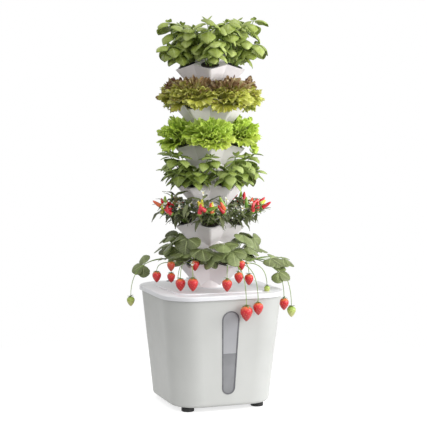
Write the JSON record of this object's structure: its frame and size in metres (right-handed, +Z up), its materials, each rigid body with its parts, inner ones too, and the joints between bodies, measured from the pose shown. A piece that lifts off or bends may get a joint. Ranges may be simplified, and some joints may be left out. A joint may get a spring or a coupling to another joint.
{
  "type": "hydroponic tower",
  "caption": "Free-standing hydroponic tower: square water tub with a level window, lid, stacked star-shaped planters, net cups with plants and a pump with a riser pipe.",
  "frame": {"origin": "on the floor, under the middle of the tub and the tower's axis", "axes": "+Z up along the tower, -Y towards the front with the water window, +X to the right seen from the front"},
  "size_m": [0.4755, 0.4322, 1.11],
  "materials": {
    "tub_plastic": "fine satin moulded white",
    "lid_plastic": "satin moulded white",
    "planter_plastic": "glossy moulded warm white",
    "pipe_plastic": "plain white pipe",
    "clear_window": "clear, slightly green",
    "black_rubber": "matt black",
    "hose_rubber": "dark grey",
    "black_plastic": "matt black moulding",
    "steel": "bright",
    "grow_foam": "damp dark foam",
    "basil_leaf": "soft leaf gloss",
    "red_lettuce_leaf": "frilled leaf, bronze to green",
    "green_lettuce_leaf": "frilled leaf, lime green",
    "mint_leaf": "soft leaf",
    "chilli_leaf": "narrow dark leaf",
    "strawberry_leaf": "matt leaf",
    "pepper_skin": "glossy fruit, red to yellow",
    "strawberry_skin": "glossy red fruit"
  },
  "bodies": {
    "reservoir": {"reservoir_tub": "tub_plastic", "water_window": "clear_window", "window_gasket": "black_rubber", "rubber_feet": "black_rubber", "foot_screws": "steel"},
    "lid": {"lid": "lid_plastic", "tower_base_socket": "lid_plastic", "socket_spider": "lid_plastic", "base_screws": "steel", "cable_grommet": "black_rubber", "hatch_hinge_pin": "steel", "riser_coupling": "pipe_plastic", "coupling_nut": "pipe_plastic", "delivery_hose": "hose_rubber", "hose_clips": "steel", "pump_housing": "black_plastic", "pump_cover": "black_plastic", "pump_strainer": "black_plastic", "pump_suction_cups": "black_rubber", "pump_shaft": "steel"},
    "fill_hatch": {"fill_hatch": "lid_plastic", "hatch_seal": "black_rubber"},
    "pump_rotor": {"pump_rotor": "black_plastic"},
    "tier_1": {"tier_1_planter": "planter_plastic", "tier_1_riser_pipe": "pipe_plastic", "tier_1_net_cups": "black_plastic", "tier_1_grow_plugs": "grow_foam", "tier_1_plants": "basil_leaf"},
    "tier_2": {"tier_2_planter": "planter_plastic", "tier_2_riser_pipe": "pipe_plastic", "tier_2_net_cups": "black_plastic", "tier_2_grow_plugs": "grow_foam", "tier_2_plants": "red_lettuce_leaf"},
    "tier_3": {"tier_3_planter": "planter_plastic", "tier_3_riser_pipe": "pipe_plastic", "tier_3_net_cups": "black_plastic", "tier_3_grow_plugs": "grow_foam", "tier_3_plants": "green_lettuce_leaf"},
    "tier_4": {"tier_4_planter": "planter_plastic", "tier_4_riser_pipe": "pipe_plastic", "tier_4_net_cups": "black_plastic", "tier_4_grow_plugs": "grow_foam", "tier_4_plants": "mint_leaf"},
    "tier_5": {"tier_5_planter": "planter_plastic", "tier_5_riser_pipe": "pipe_plastic", "tier_5_net_cups": "black_plastic", "tier_5_grow_plugs": "grow_foam", "tier_5_plants": "chilli_leaf", "tier_5_peppers": "pepper_skin"},
    "tier_6": {"tier_6_planter": "planter_plastic", "tier_6_riser_pipe": "pipe_plastic", "tier_6_net_cups": "black_plastic", "tier_6_grow_plugs": "grow_foam", "tier_6_plants": "strawberry_leaf", "tier_6_strawberries": "strawberry_skin", "tier_6_runner_leaves": "strawberry_leaf"},
    "top_cap": {"top_cap": "planter_plastic", "water_spreader": "pipe_plastic"}
  },
  "joints": [
    {"name": "lid_lift", "type": "slide", "parent": "reservoir", "child": "lid", "axis": [0, 0, 1], "range_m": [0, 0.34]},
    {"name": "hatch_hinge", "type": "hinge", "parent": "lid", "child": "fill_hatch", "pos_m": [0, 0.1596, 0.335], "axis": [-1, 0, 0], "range_deg": [0, 100]},
    {"name": "pump_spin", "type": "hinge", "parent": "lid", "child": "pump_rotor", "pos_m": [0, 0, 0.047], "axis": [0, 1, 0], "continuous": true},
    {"name": "tier_6_lift", "type": "slide", "parent": "lid", "child": "tier_6", "axis": [0, 0, 1], "range_m": [0, 0.06]},
    {"name": "tier_5_lift", "type": "slide", "parent": "tier_6", "child": "tier_5", "axis": [0, 0, 1], "range_m": [0, 0.06]},
    {"name": "tier_4_lift", "type": "slide", "parent": "tier_5", "child": "tier_4", "axis": [0, 0, 1], "range_m": [0, 0.06]},
    {"name": "tier_3_lift", "type": "slide", "parent": "tier_4", "child": "tier_3", "axis": [0, 0, 1], "range_m": [0, 0.06]},
    {"name": "tier_2_lift", "type": "slide", "parent": "tier_3", "child": "tier_2", "axis": [0, 0, 1], "range_m": [0, 0.06]},
    {"name": "tier_1_lift", "type": "slide", "parent": "tier_2", "child": "tier_1", "axis": [0, 0, 1], "range_m": [0, 0.06]},
    {"name": "cap_lift", "type": "slide", "parent": "tier_1", "child": "top_cap", "axis": [0, 0, 1], "range_m": [0, 0.06]}
  ]
}
